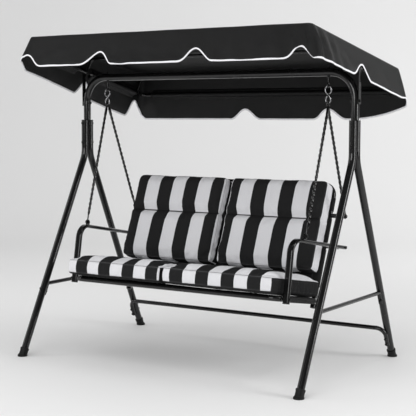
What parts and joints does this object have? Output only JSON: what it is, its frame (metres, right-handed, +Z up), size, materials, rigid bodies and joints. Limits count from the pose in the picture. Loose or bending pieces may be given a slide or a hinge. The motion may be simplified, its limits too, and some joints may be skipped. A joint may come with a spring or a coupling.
{
  "type": "canopy swing bench",
  "caption": "Garden swing bench for two: cushioned seat hung from an A-frame tube stand under a tilting fabric canopy.",
  "frame": {"origin": "on the floor, midway between the sides, straight below the swing axis", "axes": "+X along the bench to its left arm as a sitter faces out from it, -Y towards the front of the bench, +Z up"},
  "size_m": [1.736, 1.136, 1.631],
  "materials": {
    "frame_paint": "satin powder coat",
    "fastener_steel": "black oxide",
    "chrome": "bright plated",
    "black_plastic": "fine grained",
    "canopy_fabric": "coated polyester weave with white edge piping",
    "cushion_fabric": "woven cotton blend, black and off-white stripes",
    "sling_fabric": "black coated mesh"
  },
  "bodies": {
    "stand": {"brace_bolts": "fastener_steel", "bracket_bolts": "fastener_steel", "crossbar_bolts": "fastener_steel", "front_left_foot": "black_plastic", "front_left_leg": "frame_paint", "front_right_foot": "black_plastic", "front_right_leg": "frame_paint", "left_canopy_bracket": "frame_paint", "left_eye_bolt": "frame_paint", "left_side_brace": "frame_paint", "leg_clamp_bolts": "fastener_steel", "leg_top_plugs": "black_plastic", "rear_crossbar": "frame_paint", "rear_left_foot": "black_plastic", "rear_left_leg": "frame_paint", "rear_right_foot": "black_plastic", "rear_right_leg": "frame_paint", "right_canopy_bracket": "frame_paint", "right_eye_bolt": "frame_paint", "right_side_brace": "frame_paint", "stand_nuts": "fastener_steel", "tilt_bolts": "fastener_steel", "top_bar": "frame_paint"},
    "canopy": {"canopy_centre_bow": "frame_paint", "canopy_front_bow": "frame_paint", "canopy_front_loop": "frame_paint", "canopy_front_valance": "canopy_fabric", "canopy_left_valance": "canopy_fabric", "canopy_rear_bow": "frame_paint", "canopy_rear_loop": "frame_paint", "canopy_rear_valance": "canopy_fabric", "canopy_right_valance": "canopy_fabric", "canopy_roof": "canopy_fabric"},
    "left_knob": {"left_tilt_knob": "black_plastic"},
    "right_knob": {"right_tilt_knob": "black_plastic"},
    "seat": {"armrest_front_bolts": "fastener_steel", "armrest_plugs": "black_plastic", "armrest_rear_bolts": "fastener_steel", "back_frame": "frame_paint", "back_sling": "sling_fabric", "frame_joint_bolts": "fastener_steel", "frame_plugs": "black_plastic", "hanger_front_bolts": "fastener_steel", "hanger_rear_bolts": "fastener_steel", "left_armrest": "frame_paint", "left_back_cushion": "cushion_fabric", "left_front_hanger": "frame_paint", "left_hook": "chrome", "left_rear_hanger": "frame_paint", "left_seat_cushion": "cushion_fabric", "right_armrest": "frame_paint", "right_back_cushion": "cushion_fabric", "right_front_hanger": "frame_paint", "right_hook": "chrome", "right_rear_hanger": "frame_paint", "right_seat_cushion": "cushion_fabric", "seat_frame": "frame_paint", "seat_nuts": "fastener_steel", "seat_sling": "sling_fabric"}
  },
  "joints": [
    {"name": "seat_swing", "type": "hinge", "parent": "stand", "child": "seat", "pos_m": [0, 0, 1.378], "axis": [1, 0, 0], "range_deg": [-25, 25]},
    {"name": "canopy_tilt", "type": "hinge", "parent": "stand", "child": "canopy", "pos_m": [0, 0, 1.473], "axis": [1, 0, 0], "range_deg": [-10, 10]},
    {"name": "left_knob_turn", "type": "hinge", "parent": "stand", "child": "left_knob", "pos_m": [-0.79, 0, 1.473], "axis": [1, 0, 0], "continuous": true},
    {"name": "right_knob_turn", "type": "hinge", "parent": "stand", "child": "right_knob", "pos_m": [0.79, 0, 1.473], "axis": [1, 0, 0], "continuous": true}
  ]
}
